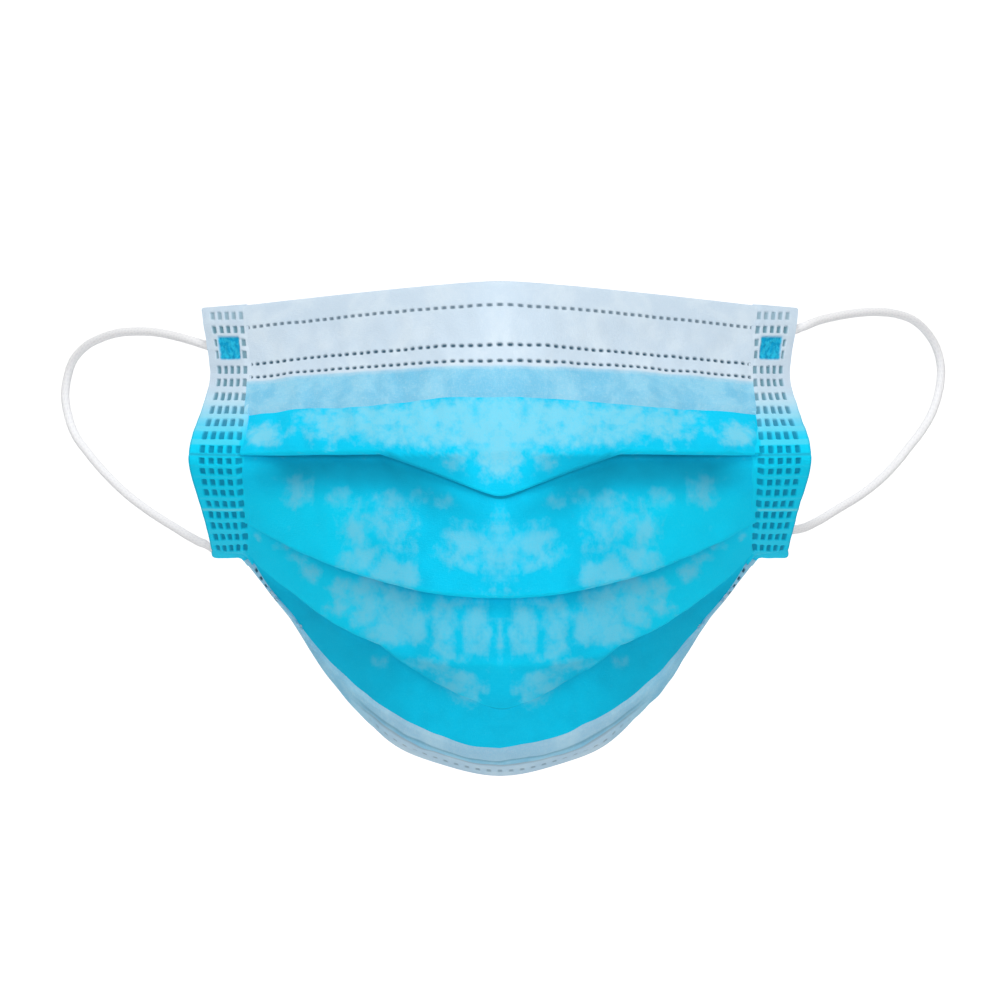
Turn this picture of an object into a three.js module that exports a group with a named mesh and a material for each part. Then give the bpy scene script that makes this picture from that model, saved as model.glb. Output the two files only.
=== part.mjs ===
// Pleated medical face mask in the form that it takes on a face, in millimetres.
// +X is to the right seen from the front, +Y runs back towards the face and +Z is up.
// The cloth follows a smooth envelope. A place on it has a length down the envelope from the top
// edge ("down") and a height outside the envelope ("out"), and a pleat is a fold in those two.

import * as THREE from "three";

// Driving dimensions
const CLOTH_WALL = 1; // the bonded plies
const LAYER_GAP = 0.3; // free space between folded layers
const HEM_GAP = 0.4; // free space between the cloth and a hem folded over its edge
const TOP_HEM_FRONT = 27.2; // how far the top hem runs down before the cloth
const TOP_HEM_BACK = 15; // and behind it
const BOTTOM_HEM_FRONT = 12; // the same for the bottom hem
const BOTTOM_HEM_BACK = 9;
const HEM_CLEAR = 0.25; // share of the last panel that stays free between pleat 3 and the hem
const HALF_WIDTH = 87.5; // of the cloth laid flat
const BAND_START = 0.86; // the welded side band starts at this share of the half width
const BAND_WALL = { inner: 3, side: 1.5 }; // plies and hems fused by the weld, thinner at the side edge
const BAND_GAP = 0.8; // free space between the cloth and the band
const BAND_TUCK = -2; // the band's foot follows the bottom edge under pleat 3
const NOSE_SEAT_DOWN = 8; // the nose bridge touches the top hem this far below its edge
const LOOP_DIAMETER = 2.1; // round elastic cord

// How finely the curved walls are faceted
const COLUMNS_TO_BAND = 11;
const COLUMNS_IN_BAND = 3;
const BAND_STEPS = 24;
const TURN_STEPS = 4; // in one turn of a fold
const FLAP_STEPS = 3;
const PANEL_STEPS = 4;
const FIRST_PANEL_STEPS = 9;
const HEM_STEPS = 5; // in each leg of a hem
const LOOP_SIDES = 8;
const LOOP_STEPS = 40;

// The lines that cross the mask, from its top edge to its bottom edge.
// mid is the place [y, z] on the mirror plane, band the place [x, y, z] where the side band starts
// and side the place [x, y, z] on the side edge. tip rounds the line in plan, small over the nose,
// and bend is the power of its rise or fall in height.
const LINES = [
  {
    name: "top_edge", tip: 10, bend: 1.25,
    mid: [19.3, 47.1], band: [59.8, 63.5, 43.5], side: [69.2, 71.5, 43.1],
  },
  {
    name: "weld_line", tip: 12, bend: 1.25,
    mid: [12.5, 31.4], band: [58.4, 56, 29], side: [67, 66, 28.4],
  },
  {
    name: "pleat_1", tip: 30, bend: 1,
    mid: [1.5, 10.7], band: [59.3, 38, 10.4], side: [70.8, 44, 10.6],
  },
  {
    name: "pleat_2", tip: 40, bend: 2,
    mid: [2, -21.4], band: [58.8, 49, -4.9], side: [69, 56, -3.2],
  },
  {
    name: "pleat_3", tip: 45, bend: 2.4,
    mid: [8, -36.2], band: [58.8, 59, -11.8], side: [67.8, 66, -10.6],
  },
  {
    name: "chin_line", tip: 120, bend: 2.45,
    mid: [27, -55.2], band: [59.8, 61, -13], side: [68, 67.5, -11.8],
  },
  {
    name: "bottom_edge", tip: 60, bend: 1.85,
    mid: [40.5, -61.6], band: [60.5, 62.5, -13.8], side: [68.2, 69, -12.8],
  },
];

// The pleats. depth is the fold's own depth, halfOpen the distance from the middle where the fold
// stands square to the cloth, and reach how far from there it lies shut or open.
const TURN = (CLOTH_WALL + LAYER_GAP) / 2; // mid-wall radius of a shut fold
const PLEATS = [
  { line: "pleat_1", next: "pleat_2", depth: 11, halfOpen: 26, reach: 20 },
  { line: "pleat_2", next: "pleat_3", depth: 10, halfOpen: -40, reach: 30 },
  { line: "pleat_3", next: "bottom_edge", depth: 10, halfOpen: 25, reach: 15 },
];
const OPEN_TURN = 3; // radius that a fold relaxes to as it opens
const LEAST_TURN = 0.45; // an open pleat still turns by this angle, in radians
const SLACK = 0.4; // share of its depth that a half open pleat gives up
const BOTTOM_TUCK = -4 * TURN; // beside the bands the bottom edge lies under pleat 3
const TUCK_GROWTH = 3; // power by which that tuck grows from the middle to the bands
const KNEE = 1; // the cloth under a shut pleat runs this far past the fold before it comes forward

// Routes of the ear loops, from the upper weld on the back of the band round to the lower one, [x, y, z]
const LOOPS = [
  {
    name: "ear_loop_left",
    route: [
      [-60.2, 66, 35.3], [-63.2, 68.6, 35.3], [-66.1, 71, 35.6], [-72.5, 76.9, 37.5], [-77.2, 83.6, 38.9],
      [-83, 91, 40.1], [-87.6, 96.6, 40.4], [-92.3, 102.1, 40.2], [-96.5, 106.9, 39.2], [-101, 111.8, 37.1],
      [-104.1, 115.1, 33.9], [-105.7, 116.9, 29.5], [-106.2, 117.3, 25.4], [-105.4, 116.6, 20.7],
      [-103.3, 114.3, 15.6], [-100.3, 111.1, 11.8], [-97.1, 107.5, 8.2], [-93.6, 103.6, 4.8],
      [-89.5, 98.9, 1.3], [-84.3, 92.7, -2.3], [-76.8, 82.9, -6.6], [-72.6, 77.6, -8.9],
      [-69.3, 74, -10.3], [-66.6, 72.8, -10.8], [-63.8, 72.1, -11],
    ],
  },
  {
    name: "ear_loop_right",
    route: [
      [60.2, 66, 35.3], [63.6, 69.2, 37.2], [66.8, 71.9, 38.9], [71.9, 75.3, 41], [75.3, 80.3, 42.4],
      [79.3, 85.6, 43.5], [84, 91.7, 44.5], [90.4, 99.3, 45.2], [96.2, 106, 44.9], [100.5, 110.8, 43.6],
      [104, 114.6, 40.9], [106.6, 117.3, 37.1], [107.8, 118.3, 32.3], [107.4, 118, 27.4],
      [105.7, 116.3, 22], [102.3, 112.7, 16.5], [99.4, 109.6, 13.1], [96, 105.7, 9.2],
      [91.7, 100.9, 5.1], [86.6, 94.9, 1.4], [80.3, 87, -2.1], [74.5, 78.5, -5.2],
      [66.9, 64.8, -7.1], [64.4, 63.4, -7.3], [61.9, 62.2, -7.7],
    ],
  },
];

function lineNumber(name) {
  return LINES.findIndex((line) => line.name === name);
}

// Place on one of the crossing lines. across runs from -1 at the left side edge to 1 at the right.
function linePoint(line, across) {
  const share = Math.abs(across);
  const point = new THREE.Vector3(...line.band);
  if (share > BAND_START) {
    point.lerp(new THREE.Vector3(...line.side), (share - BAND_START) / (1 - BAND_START));
  } else {
    const [midY, midZ] = line.mid;
    const run = share / BAND_START;
    const tipRise = (x) => Math.hypot(x, line.tip) - line.tip;
    const back = tipRise(point.x * run) / tipRise(point.x);
    point.x *= run;
    point.y = THREE.MathUtils.lerp(midY, point.y, back);
    point.z = THREE.MathUtils.lerp(midZ, point.z, run ** line.bend);
  }
  point.x *= Math.sign(across);
  return point;
}

// One section of the envelope, from the top edge to the bottom edge at a fixed place across.
class Section {
  constructor(across) {
    this.across = across;
    this.knots = LINES.map((line) => linePoint(line, across));
    this.downs = [0];
    for (let i = 1; i < this.knots.length; i += 1) {
      this.downs.push(this.downs[i - 1] + this.knots[i].distanceTo(this.knots[i - 1]));
    }
    this.slopes = this.knots.map((_, i) => {
      const before = Math.max(i - 1, 0);
      const after = Math.min(i + 1, this.knots.length - 1);
      const span = this.downs[after] - this.downs[before];
      return this.knots[after].clone().sub(this.knots[before]).divideScalar(span);
    });
    this.length = this.downs.at(-1);
  }

  downTo(name) {
    return this.downs[lineNumber(name)];
  }

  // Number of the span that holds a length down, and the share of that span
  spanOf(down) {
    const last = this.knots.length - 2;
    let span = 0;
    while (span < last && down > this.downs[span + 1]) {
      span += 1;
    }
    return [span, (down - this.downs[span]) / (this.downs[span + 1] - this.downs[span])];
  }

  // Cubic through the crossing lines, carried on straight past both edges
  pointIn(span, share) {
    const t = THREE.MathUtils.clamp(share, 0, 1);
    const size = this.downs[span + 1] - this.downs[span];
    const point = this.knots[span].clone().multiplyScalar(1 - t * t * (3 - 2 * t));
    point.addScaledVector(this.slopes[span], size * t * (1 - t) ** 2);
    point.addScaledVector(this.knots[span + 1], t * t * (3 - 2 * t));
    point.addScaledVector(this.slopes[span + 1], -size * t * t * (1 - t));
    return point.addScaledVector(this.slopes[share > t ? span + 1 : span], (share - t) * size);
  }

  // Place of the cloth, at a height outside the envelope
  place(down, out) {
    const [span, share] = this.spanOf(down);
    const step = 0.01;
    this.right ??= new Section(this.across + step);
    this.left ??= new Section(this.across - step);
    const along = this.right.pointIn(span, share).sub(this.left.pointIn(span, share));
    const downward = this.pointIn(span, share + step).sub(this.pointIn(span, share - step));
    const outward = downward.cross(along).normalize();
    return this.pointIn(span, share).addScaledVector(outward, out);
  }
}

// Fold of one pleat as [down, out] steps from its crossing line. Shut, it turns back on itself.
function foldSteps(pleat, halfWidth) {
  const quarter = Math.PI / 2;
  const swing = THREE.MathUtils.clamp((halfWidth - pleat.halfOpen) / pleat.reach, -quarter, quarter);
  const shut = Math.sin(swing); // from -1, open, to 1, shut
  const turn = Math.max(Math.acos(-shut), LEAST_TURN);
  const open = (1 - shut) / 2;
  const radius = THREE.MathUtils.lerp(TURN, OPEN_TURN, open);
  const depth = pleat.depth * (1 - SLACK * Math.sin(turn));
  const steps = [];
  let down = -radius * Math.sin(Math.min(turn, quarter));
  let out = 0;
  for (let i = 0; i <= TURN_STEPS; i += 1) {
    const angle = (turn * i) / TURN_STEPS;
    steps.push([down + radius * Math.sin(angle), out + radius * (Math.cos(angle) - 1)]);
  }
  [down, out] = steps.at(-1);
  for (let i = 1; i <= FLAP_STEPS; i += 1) {
    const run = (depth * i) / FLAP_STEPS;
    steps.push([down + run * Math.cos(turn), out - run * Math.sin(turn)]);
  }
  [down, out] = steps.at(-1);
  for (let i = 1; i <= TURN_STEPS; i += 1) {
    const angle = turn * (1 - i / TURN_STEPS);
    const downTurn = Math.sin(turn) - Math.sin(angle);
    const outTurn = Math.cos(turn) - Math.cos(angle);
    steps.push([down + radius * downTurn, out + radius * outTurn]);
  }
  return steps;
}

// Way of the cloth down one section, as [down, out] places, with the out of its last panel and the
// place where the bottom hem starts on it.
function clothWay(section) {
  const way = [];
  const halfWidth = Math.abs(section.knots[lineNumber("pleat_1")].x);
  const bottomOut = BOTTOM_TUCK * Math.abs(section.across / BAND_START) ** TUCK_GROWTH;
  let panelOut = () => 0;
  let from = 0;
  let panelSteps = FIRST_PANEL_STEPS;
  for (const pleat of PLEATS) {
    const line = section.downTo(pleat.line);
    const steps = foldSteps(pleat, halfWidth);
    const above = panelOut;
    const panelEnd = line + steps[0][0];
    for (let i = 0; i < panelSteps; i += 1) {
      const down = THREE.MathUtils.lerp(from, panelEnd, i / panelSteps);
      way.push([down, above(down)]);
    }
    way.push(...steps.map(([down, out]) => [line + down, above(line + down) + out]));
    const [turnedDown, turnedOut] = steps.at(-1);
    const knee = line + Math.max(turnedDown + 2 * KNEE, KNEE);
    for (let i = 1; i < FLAP_STEPS; i += 1) {
      const down = THREE.MathUtils.lerp(line + turnedDown, knee, i / FLAP_STEPS);
      way.push([down, above(down) + turnedOut]);
    }
    const end = section.downTo(pleat.next);
    const endOut = pleat.next === "bottom_edge" ? bottomOut : 0;
    panelOut = (down) => {
      const run = THREE.MathUtils.clamp((down - knee) / (end - knee), 0, 1);
      const shelter = down < knee ? above(down) : 0;
      return shelter + THREE.MathUtils.lerp(turnedOut, endOut, run);
    };
    from = knee;
    panelSteps = PANEL_STEPS;
  }
  const pleatClear = THREE.MathUtils.lerp(from, section.length, HEM_CLEAR);
  const hemStart = Math.max(section.length - BOTTOM_HEM_FRONT, pleatClear);
  for (let i = 0; i < PANEL_STEPS; i += 1) {
    const down = THREE.MathUtils.lerp(from, hemStart, i / PANEL_STEPS);
    way.push([down, panelOut(down)]);
  }
  for (let i = 0; i <= HEM_STEPS; i += 1) {
    const down = THREE.MathUtils.lerp(hemStart, section.length, i / HEM_STEPS);
    way.push([down, panelOut(down)]);
  }
  return { way, panelOut, hemStart };
}

// Way of a hem that is folded over an edge of the cloth, as a length down and a height off the cloth.
const HEM_OFFSET = CLOTH_WALL + HEM_GAP; // from mid-wall to mid-wall
function hemWay(front, edge, back) {
  const heading = Math.sign(edge - front);
  const way = [];
  for (let i = 0; i < HEM_STEPS; i += 1) {
    way.push([THREE.MathUtils.lerp(front, edge, i / HEM_STEPS), HEM_OFFSET]);
  }
  for (let i = 0; i <= TURN_STEPS; i += 1) {
    const angle = (Math.PI * i) / TURN_STEPS;
    way.push([edge + heading * HEM_OFFSET * Math.sin(angle), HEM_OFFSET * Math.cos(angle)]);
  }
  for (let i = 1; i <= HEM_STEPS; i += 1) {
    way.push([THREE.MathUtils.lerp(edge, back, i / HEM_STEPS), -HEM_OFFSET]);
  }
  return way;
}

// Places of a hem's way, each square to the panel that the hem covers
function hemPlaces(across, way, panelOutOf) {
  const step = 0.005;
  const [left, here, right] = [across - step, across, across + step].map((place) => {
    const section = new Section(place);
    const out = panelOutOf(section);
    return (down) => section.place(down, out(down));
  });
  return way.map(([down, height]) => {
    const along = right(down).sub(left(down));
    const downward = here(down + step).sub(here(down - step));
    return here(down).addScaledVector(downward.cross(along).normalize(), height);
  });
}

// Closed wall about a grid of mid-wall places, grid[column][row], whose outer side faces
// the way that columns cross rows.
function wallGeometry(grid, walls, flip) {
  const columns = grid.length;
  const rows = grid[0].length;
  const positions = [];
  for (const side of [0.5, -0.5]) {
    for (let c = 0; c < columns; c += 1) {
      for (let r = 0; r < rows; r += 1) {
        const right = grid[Math.min(c + 1, columns - 1)][r];
        const left = grid[Math.max(c - 1, 0)][r];
        const below = grid[c][Math.min(r + 1, rows - 1)];
        const above = grid[c][Math.max(r - 1, 0)];
        const normal = below.clone().sub(above).cross(right.clone().sub(left)).normalize();
        const place = grid[c][r].clone().addScaledVector(normal, (flip ? -side : side) * walls[c]);
        positions.push(...place.toArray());
      }
    }
  }
  const lastColumn = columns - 1;
  const lastRow = rows - 1;
  const outer = (c, r) => c * rows + r;
  const inner = (c, r) => columns * rows + c * rows + r;
  const triangles = [];
  const vertex = (i) => new THREE.Vector3().fromArray(positions, 3 * i);
  const quad = (...ring) => {
    let [a, b, c, d] = flip ? ring.reverse() : ring;
    if (vertex(a).distanceTo(vertex(c)) > vertex(b).distanceTo(vertex(d))) {
      [a, b, c, d] = [b, c, d, a]; // split along the shorter diagonal
    }
    triangles.push(a, b, c, a, c, d);
  };
  for (let c = 0; c < lastColumn; c += 1) {
    for (let r = 0; r < lastRow; r += 1) {
      quad(outer(c, r), outer(c, r + 1), outer(c + 1, r + 1), outer(c + 1, r));
      quad(inner(c, r), inner(c + 1, r), inner(c + 1, r + 1), inner(c, r + 1));
    }
    quad(outer(c, 0), outer(c + 1, 0), inner(c + 1, 0), inner(c, 0));
    quad(outer(c + 1, lastRow), outer(c, lastRow), inner(c, lastRow), inner(c + 1, lastRow));
  }
  for (let r = 0; r < lastRow; r += 1) {
    quad(outer(0, r), inner(0, r), inner(0, r + 1), outer(0, r + 1));
    quad(inner(lastColumn, r), outer(lastColumn, r), outer(lastColumn, r + 1), inner(lastColumn, r + 1));
  }
  const geometry = new THREE.BufferGeometry();
  geometry.setAttribute("position", new THREE.Float32BufferAttribute(positions, 3));
  geometry.setIndex(triangles);
  geometry.computeVertexNormals();
  return geometry;
}

// Evenly spread sections between two places across
function sectionsBetween(first, last, count) {
  const sections = [];
  for (let i = 0; i <= count; i += 1) {
    sections.push(new Section(THREE.MathUtils.lerp(first, last, i / count)));
  }
  return sections;
}

function walledWays(sections, ways, walls) {
  const grid = ways.map((way, c) => way.map(([down, out]) => sections[c].place(down, out)));
  return wallGeometry(grid, walls, false);
}

const clothEnd = BAND_START - BAND_GAP / HALF_WIDTH;
const sections = sectionsBetween(-clothEnd, clothEnd, 2 * COLUMNS_TO_BAND);
const clothWalls = sections.map(() => CLOTH_WALL);

const clothBlue = new THREE.MeshStandardMaterial({ color: 0x18b8ea, roughness: 0.85, metalness: 0 });
const loopWhite = new THREE.MeshStandardMaterial({ color: 0xeff0f4, roughness: 0.75, metalness: 0 });
const hemWhite = new THREE.MeshStandardMaterial({ color: 0xd6dfee, roughness: 0.8, metalness: 0 });

const mask = new THREE.Group();

function addPiece(name, geometry, material) {
  const mesh = new THREE.Mesh(geometry, material);
  mesh.name = name;
  mask.add(mesh);
}

const clothWays = sections.map((section) => clothWay(section).way);
addPiece("pleated_panel", walledWays(sections, clothWays, clothWalls), clothBlue);

const topHemWay = hemWay(TOP_HEM_FRONT, 0, TOP_HEM_BACK);
const topHemGrid = sections.map(({ across }) => hemPlaces(across, topHemWay, () => () => 0));
addPiece("top_hem", wallGeometry(topHemGrid, clothWalls, true), hemWhite);

const bottomHemGrid = sections.map(({ across, length }) => {
  const { hemStart } = clothWay(new Section(across));
  const way = hemWay(hemStart, length, length - BOTTOM_HEM_BACK);
  return hemPlaces(across, way, (section) => clothWay(section).panelOut);
});
addPiece("bottom_hem", wallGeometry(bottomHemGrid, clothWalls, false), hemWhite.clone());

// Welded side bands: all plies and both hems fused into one wall, flush with the cloth in front
function bandWall(section) {
  const run = (Math.abs(section.across) - BAND_START) / (1 - BAND_START);
  return THREE.MathUtils.lerp(BAND_WALL.inner, BAND_WALL.side, run);
}
function bandWay(section) {
  const edge = HEM_OFFSET + CLOTH_WALL / 2;
  const flush = (CLOTH_WALL - bandWall(section)) / 2;
  const tuckStart = section.downTo("pleat_3");
  const way = [];
  for (let i = 0; i <= BAND_STEPS; i += 1) {
    const down = THREE.MathUtils.lerp(-edge, section.length + edge, i / BAND_STEPS);
    const tuck = THREE.MathUtils.smoothstep(down, tuckStart, section.length);
    way.push([down, flush + tuck * BAND_TUCK]);
  }
  return way;
}
const BANDS = [
  { name: "side_band_left", first: -1, last: -BAND_START },
  { name: "side_band_right", first: BAND_START, last: 1 },
];
for (const { name, first, last } of BANDS) {
  const bandSections = sectionsBetween(first, last, COLUMNS_IN_BAND);
  const bandWays = bandSections.map((section) => bandWay(section));
  const bandWalls = bandSections.map((section) => bandWall(section));
  addPiece(name, walledWays(bandSections, bandWays, bandWalls), clothBlue.clone());
}

// Ear loops: a round cord whose two ends lie on the back of a side band
function loopGeometry(route) {
  const circle = new THREE.Shape();
  for (let i = 0; i < LOOP_SIDES; i += 1) {
    const angle = (2 * Math.PI * i) / LOOP_SIDES;
    const corner = [(LOOP_DIAMETER / 2) * Math.cos(angle), (LOOP_DIAMETER / 2) * Math.sin(angle)];
    if (i === 0) {
      circle.moveTo(...corner);
    } else {
      circle.lineTo(...corner);
    }
  }
  circle.closePath();
  const curve = new THREE.CatmullRomCurve3(route.map((point) => new THREE.Vector3(...point)));
  return new THREE.ExtrudeGeometry(circle, { steps: LOOP_STEPS, bevelEnabled: false, extrudePath: curve });
}
for (const { name, route } of LOOPS) {
  addPiece(name, loopGeometry(route), loopWhite.clone());
}

// The origin is where the nose bridge touches the back of the top hem
const noseSeat = new Section(0).place(NOSE_SEAT_DOWN, -(HEM_OFFSET + CLOTH_WALL / 2));
mask.position.copy(noseSeat).negate();

export default mask;
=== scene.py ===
import math

import bpy
import numpy as np
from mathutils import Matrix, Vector


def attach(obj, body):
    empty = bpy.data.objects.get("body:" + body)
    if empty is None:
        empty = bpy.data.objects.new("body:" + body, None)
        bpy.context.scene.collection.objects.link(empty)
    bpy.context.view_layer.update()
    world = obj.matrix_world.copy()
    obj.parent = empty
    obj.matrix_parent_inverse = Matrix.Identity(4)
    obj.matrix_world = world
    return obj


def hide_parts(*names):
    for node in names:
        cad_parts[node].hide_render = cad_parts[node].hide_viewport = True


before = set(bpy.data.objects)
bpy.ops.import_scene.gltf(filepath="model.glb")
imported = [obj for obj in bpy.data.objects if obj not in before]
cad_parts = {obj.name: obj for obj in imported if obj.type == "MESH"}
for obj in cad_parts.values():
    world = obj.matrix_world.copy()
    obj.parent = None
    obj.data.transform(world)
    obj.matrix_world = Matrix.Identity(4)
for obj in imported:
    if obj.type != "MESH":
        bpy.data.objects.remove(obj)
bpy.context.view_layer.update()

# Sizes are in millimetres, and a place is moved to the row frame in metres when its mesh is made.
# A share across is a share of the half width.
MM = 0.001
UV_UNIT = 100  # the UV maps hold lengths along the cloth in this unit
SHARP_ANGLE = math.radians(50)
HALF_WIDTH = 87.5  # of the cloth laid flat
BAND_START = 0.86  # share across where the welded band starts
NOSE_SEAT = np.array([0, 17.956, 38.987])  # the row frame's origin

# Lines that cross the mask: [y, z] at the middle, [x, y, z] at the band and at the side edge, the
# rounding in plan and the power of the rise in height
LINE_TABLE = {
    "top_edge": ([19.3, 47.1], [59.8, 63.5, 43.5], [69.2, 71.5, 43.1], 10, 1.25),
    "weld_line": ([12.5, 31.4], [58.4, 56, 29], [67, 66, 28.4], 12, 1.25),
    "pleat_1": ([1.5, 10.7], [59.3, 38, 10.4], [70.8, 44, 10.6], 30, 1),
    "pleat_2": ([2, -21.4], [58.8, 49, -4.9], [69, 56, -3.2], 40, 2),
    "pleat_3": ([8, -36.2], [58.8, 59, -11.8], [67.8, 66, -10.6], 45, 2.4),
    "chin_line": ([27, -55.2], [59.8, 61, -13], [68, 67.5, -11.8], 120, 2.45),
    "bottom_edge": ([40.5, -61.6], [60.5, 62.5, -13.8], [68.2, 69, -12.8], 60, 1.85),
}
LINES = list(LINE_TABLE)
MID, BAND, SIDE, TIP, BEND = (np.array(column, float) for column in zip(*LINE_TABLE.values()))

# The lowest lines hang fuller beside the chin and run leaner along the jaw: share across, spread and
# rise, and each line's part of it
FULLNESS = ((0.35, 0.13, -2.1), (0.66, 0.12, 2.9))
FULL_LINES = np.array([0.7 if name == "chin_line" else float(name == "bottom_edge") for name in LINES])

# Pleats: line, next line, depth, depth at the middle, how far the edge drops at the middle as the
# pleat opens there, the fold's mid-wall radius away from the band and at the middle, and the shade
# in the recess below the edge, with its deepest place and its reach
PLEATS = [
    ("pleat_1", "pleat_2", 11, 0.9, 9.8, 0.8, 0.2, 0.72, 5, 4.5),
    ("pleat_2", "pleat_3", 10, 10, 0, 0.65, 0.65, 0.25, 0, 4.4),
    ("pleat_3", "bottom_edge", 10, 0.2, 13.0, 0.8, 0.1, 0.35, 0, 4.4),
]
HIDDEN = 20  # length of cloth that a pleat takes up
BAND_SHADE = 14  # the shade is full this far from the band
CLOTH = 0.5  # wall of the bonded plies
OPEN_HALF = 27  # a pleat opens this far to both sides of the middle
OPEN_ROUND = 2  # rounds the point of the dropped edge
RIDGE = 0.3  # height of the old crease where the edge has dropped
RIDGE_SPREAD = 1.3
RIDGE_WEAR = 0.5
FLAP_SHADE = 0.55  # shade of the dropped flap below that crease, against the recess's
FLAP_START = (0.5, 0.7)  # length below the crease where that shade starts, and run
HANG_IN = 0.06  # the flap hangs free where the pleat is open by this share
HANG_OUT = (0.6, 0.3)  # share from which it comes to lie on the next panel, and run
BAND_TURN = 0.3  # the weld presses the folds flatter beside the band
TURN_SPREAD = 14  # distance from the band over which they spread
BOTTOM_TUCK = -2  # height of the bottom edge beside the band
KNEE = 1  # length below a pleat's edge at which the cloth starts to come forward
COME_FORWARD = 14  # the cloth below the last pleat is back on the envelope after this length
CLOTH_END = 0.852  # share across to which the cloth and the hems run, under the band's edge
EDGE = 1.05  # the visible cloth edge lies this far past the crossing line
HEM_HEIGHT = 0.55  # from the middle of the cloth to the middle of a hem
HEM_BACK_TOP = 15  # lengths of the hems' back legs
HEM_BACK_BOTTOM = 9


def lerp(a, b, t):
    return a + (b - a) * t


def smooth(t):
    t = np.clip(t, 0, 1)
    return t * t * (3 - 2 * t)


def rising(value, start, run):
    """Smooth step from 0 at start to 1 at start + run."""
    return smooth((value - start) / run)


def falling(value, end, run):
    """Smooth step from 1 at end - run to 0 at end."""
    return smooth((end - value) / run)


def bell(value, middle, width):
    return np.exp(-(((value - middle) / width) ** 2))


def ripple(u, v, height, size, seed):
    """Smooth random unevenness with bumps of about the given height and size."""
    rng = np.random.default_rng(seed)
    waves = 20
    total = np.zeros(np.broadcast(u, v).shape)
    for _ in range(waves):
        heading, phase = rng.uniform(0, 2 * np.pi, 2)
        turns = rng.uniform(0.5, 1.5) / size
        total += np.sin(2 * np.pi * turns * (u * np.cos(heading) + v * np.sin(heading)) + phase)
    return height * (total / math.sqrt(waves / 2))


def lengths_along(points):
    """Lengths along each row of points, from 0 at its first point."""
    steps = np.linalg.norm(np.diff(points, axis=-2), axis=-1)
    return np.concatenate([np.zeros((*steps.shape[:-1], 1)), np.cumsum(steps, -1)], -1)


def bridge(a, b, slope_a, slope_b, t):
    """Smooth curve that leaves a and meets b with the given slopes."""
    return lerp(a, b, smooth(t)) + slope_a * t * (1 - t) ** 2 - slope_b * t * t * (1 - t)


def curve_through(at, values, where):
    """Smooth curve through values at the places at, read where asked."""
    slopes = np.gradient(values, at, axis=0)
    span = np.clip(np.searchsorted(at, where) - 1, 0, len(at) - 2)
    size = (at[span + 1] - at[span]).reshape(where.shape + (1,) * (values.ndim - 1))
    t = (where - at[span]).reshape(size.shape) / size
    return bridge(values[span], values[span + 1], slopes[span] * size, slopes[span + 1] * size, t)


def line_places(across):
    """Places of all crossing lines, for each share across."""
    share = np.abs(across)[:, None]
    run = np.minimum(share / BAND_START, 1)
    beyond = np.maximum(share - BAND_START, 0) / (1 - BAND_START)
    x = BAND[:, 0] * run
    back = (np.hypot(x, TIP) - TIP) / (np.hypot(BAND[:, 0], TIP) - TIP)
    y = lerp(MID[:, 0], BAND[:, 1], back)
    full = sum(rise * bell(share, place, spread) for place, spread, rise in FULLNESS)
    z = lerp(MID[:, 1], BAND[:, 2], run**BEND) + FULL_LINES * full
    places = np.stack([x, y, z], -1) + beyond[..., None] * (SIDE - BAND)
    places[..., 0] *= np.sign(across)[:, None]
    return places


class Sections:
    """Sections of the mask's envelope, one for each place across it."""

    def __init__(self, across):
        self.across = np.asarray(across, float)
        self.knots = line_places(self.across)
        self.downs = lengths_along(self.knots)
        number = np.arange(len(LINES))
        before = np.maximum(number - 1, 0)
        after = np.minimum(number + 1, len(LINES) - 1)
        rise = self.knots[:, after] - self.knots[:, before]
        self.slopes = rise / (self.downs[:, after] - self.downs[:, before])[..., None]
        self.length = self.downs[:, -1:]

    def down_to(self, name):
        return self.downs[:, [LINES.index(name)]]

    def spans(self, down):
        span = (down[..., None] > self.downs[:, None, 1:-1]).sum(-1)
        start = np.take_along_axis(self.downs, span, 1)
        end = np.take_along_axis(self.downs, span + 1, 1)
        return span, (down - start) / (end - start)

    def points(self, span, share):
        column = np.arange(len(self.across))[:, None]
        t = np.clip(share, 0, 1)[..., None]
        size = (self.downs[column, span + 1] - self.downs[column, span])[..., None]
        slope_a, slope_b = self.slopes[column, span], self.slopes[column, span + 1]
        ends = self.knots[column, span], self.knots[column, span + 1]
        past = (share[..., None] - t) * size
        beyond = np.where(past > 0, slope_b, slope_a) * past
        return bridge(*ends, slope_a * size, slope_b * size, t) + beyond

    def place(self, down, out):
        step = 0.01
        span, share = self.spans(down)
        right, left = Sections(self.across + step), Sections(self.across - step)
        along = right.points(span, share) - left.points(span, share)
        downward = self.points(span, share + step) - self.points(span, share - step)
        return self.points(span, share) + unit(np.cross(downward, along)) * out[..., None]


def unit(vectors):
    return vectors / np.linalg.norm(vectors, axis=-1, keepdims=True)


def normals(grid):
    """Outward normals of a grid of places, grid[column, row], with rows running down."""
    return unit(np.cross(np.gradient(grid, axis=1), np.gradient(grid, axis=0)))


def fold(depth, radius, steps):
    """Fold of one pleat, as lengths down and heights out from its edge, and the wear and painted
    highlight on its edge.
    """
    share = np.linspace(0, 1, steps + 1)[None]
    turn = np.pi * share
    later = turn[:, 1:]
    down = np.concatenate([
        radius * (np.sin(turn) - 1),
        -radius - depth * share[:, 1:],
        -radius - depth - radius * np.sin(later),
    ], 1)
    out = np.concatenate([
        radius * (np.cos(turn) - 1),
        np.broadcast_to(-2 * radius, (len(radius), steps)),
        -radius * (3 - np.cos(later)),
    ], 1)
    # wear and painted highlight along the fold's edge
    wear = bell(np.arange(down.shape[1]), steps / 3, steps / 3)
    return down, out, np.broadcast_to(wear, down.shape)


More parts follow.
